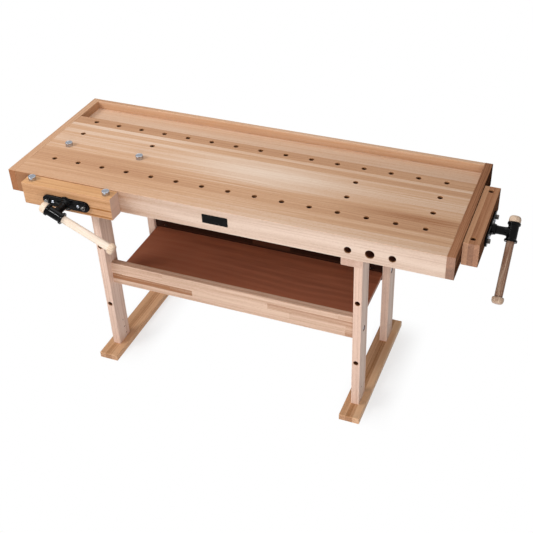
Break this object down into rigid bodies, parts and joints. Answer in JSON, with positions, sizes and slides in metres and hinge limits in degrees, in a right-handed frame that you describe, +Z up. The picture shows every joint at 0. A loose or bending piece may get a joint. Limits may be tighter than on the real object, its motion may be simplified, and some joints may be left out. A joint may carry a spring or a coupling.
{
  "type": "woodworking bench with vises",
  "caption": "Beech workbench with a front vise, a tail vise, rows of dog holes, a tool tray, trestle legs and a low shelf.",
  "frame": {"origin": "on the floor, under the middle of the whole object's box", "axes": "+X along the bench towards the tail vise, +Y from the front towards the tool tray, +Z up"},
  "size_m": [1.968, 0.828, 0.882],
  "materials": {
    "top_wood": "oiled beech, staves of mixed tone",
    "fascia_wood": "pale oiled beech",
    "cap_wood": "darker oiled beech",
    "tray_wood": "oiled beech",
    "trestle_wood": "oiled beech",
    "shelf_wood": "dark brown stained board",
    "jaw_wood": "oiled beech",
    "handle_wood": "turned beech, satin lacquer",
    "black_casting": "gloss black paint",
    "bolt_steel": "dark steel",
    "bright_steel": "bright zinc plate"
  },
  "bodies": {
    "bench": {"front_fascia": "fascia_wood", "front_board": "top_wood", "front_dog_board": "top_wood", "middle_board": "top_wood", "rear_dog_board": "top_wood", "left_end_cap": "cap_wood", "right_end_cap": "cap_wood", "rear_rail": "tray_wood", "tray_floor": "tray_wood", "slab_batten": "tray_wood", "left_foot": "trestle_wood", "left_bearer": "trestle_wood", "left_front_leg": "trestle_wood", "left_rear_leg": "trestle_wood", "left_front_top_bolt": "bolt_steel", "left_front_rail_bolt": "bolt_steel", "left_front_cross_nut": "bolt_steel", "left_rear_top_bolt": "bolt_steel", "left_rear_rail_bolt": "bolt_steel", "left_rear_cross_nut": "bolt_steel", "right_foot": "trestle_wood", "right_bearer": "trestle_wood", "right_front_leg": "trestle_wood", "right_rear_leg": "trestle_wood", "right_front_top_bolt": "bolt_steel", "right_front_rail_bolt": "bolt_steel", "right_front_cross_nut": "bolt_steel", "right_rear_top_bolt": "bolt_steel", "right_rear_rail_bolt": "bolt_steel", "right_rear_cross_nut": "bolt_steel", "front_shelf_rail": "trestle_wood", "rear_shelf_rail": "trestle_wood", "shelf_panel": "shelf_wood", "front_nut_plate": "black_casting", "tail_nut_plate": "black_casting"},
    "front_jaw": {"front_jaw": "jaw_wood", "front_flange": "black_casting", "front_guide_rod_1": "bolt_steel", "front_guide_rod_2": "bolt_steel", "front_flange_screw_1": "bright_steel", "front_flange_screw_2": "bright_steel"},
    "front_screw": {"front_spindle": "black_casting", "front_screw_collar": "bolt_steel"},
    "front_bar": {"front_handle": "handle_wood", "front_near_knob": "handle_wood"},
    "tail_jaw": {"tail_jaw": "jaw_wood", "tail_flange": "black_casting", "tail_guide_rod_1": "bolt_steel", "tail_guide_rod_2": "bolt_steel", "tail_flange_screw_1": "bright_steel", "tail_flange_screw_2": "bright_steel"},
    "tail_screw": {"tail_spindle": "black_casting", "tail_screw_collar": "bolt_steel"},
    "tail_bar": {"tail_handle": "handle_wood", "tail_near_knob": "handle_wood"},
    "top_dog_1": {"top_dog_1": "bright_steel"},
    "top_dog_2": {"top_dog_2": "bright_steel"},
    "jaw_dog_1": {"jaw_dog_1": "bright_steel"},
    "jaw_dog_2": {"jaw_dog_2": "bright_steel"}
  },
  "joints": [
    {"name": "front_jaw_slide", "type": "slide", "parent": "bench", "child": "front_jaw", "axis": [0, -1, 0], "range_m": [0, 0.16]},
    {"name": "front_screw_turn", "type": "hinge", "parent": "front_jaw", "child": "front_screw", "pos_m": [-0.685, -0.39, 0.808], "axis": [0, -1, 0], "range_deg": [0, 9590]},
    {"name": "front_handle_slide", "type": "slide", "parent": "front_screw", "child": "front_bar", "axis": [0.9026, 0, -0.4305], "range_m": [-0.203, 0]},
    {"name": "tail_jaw_slide", "type": "slide", "parent": "bench", "child": "tail_jaw", "axis": [1, 0, 0], "range_m": [0, 0.16]},
    {"name": "tail_screw_turn", "type": "hinge", "parent": "tail_jaw", "child": "tail_screw", "pos_m": [0.96, 0.05375, 0.808], "axis": [1, 0, 0], "range_deg": [0, 9590]},
    {"name": "tail_handle_slide", "type": "slide", "parent": "tail_screw", "child": "tail_bar", "axis": [0, -0.7193, -0.6947], "range_m": [-0.203, 0]},
    {"name": "top_dog_1_lift", "type": "slide", "parent": "bench", "child": "top_dog_1", "axis": [0, 0, 1], "range_m": [0, 0.07]},
    {"name": "top_dog_2_lift", "type": "slide", "parent": "bench", "child": "top_dog_2", "axis": [0, 0, 1], "range_m": [0, 0.07]},
    {"name": "jaw_dog_1_lift", "type": "slide", "parent": "front_jaw", "child": "jaw_dog_1", "axis": [0, 0, 1], "range_m": [0, 0.07]},
    {"name": "jaw_dog_2_lift", "type": "slide", "parent": "front_jaw", "child": "jaw_dog_2", "axis": [0, 0, 1], "range_m": [0, 0.07]}
  ],
  "couplings": [
    {"joint": "front_jaw_slide", "follows": "front_screw_turn", "m_per_rad": 0.00095493},
    {"joint": "tail_jaw_slide", "follows": "tail_screw_turn", "m_per_rad": 0.00095493}
  ]
}
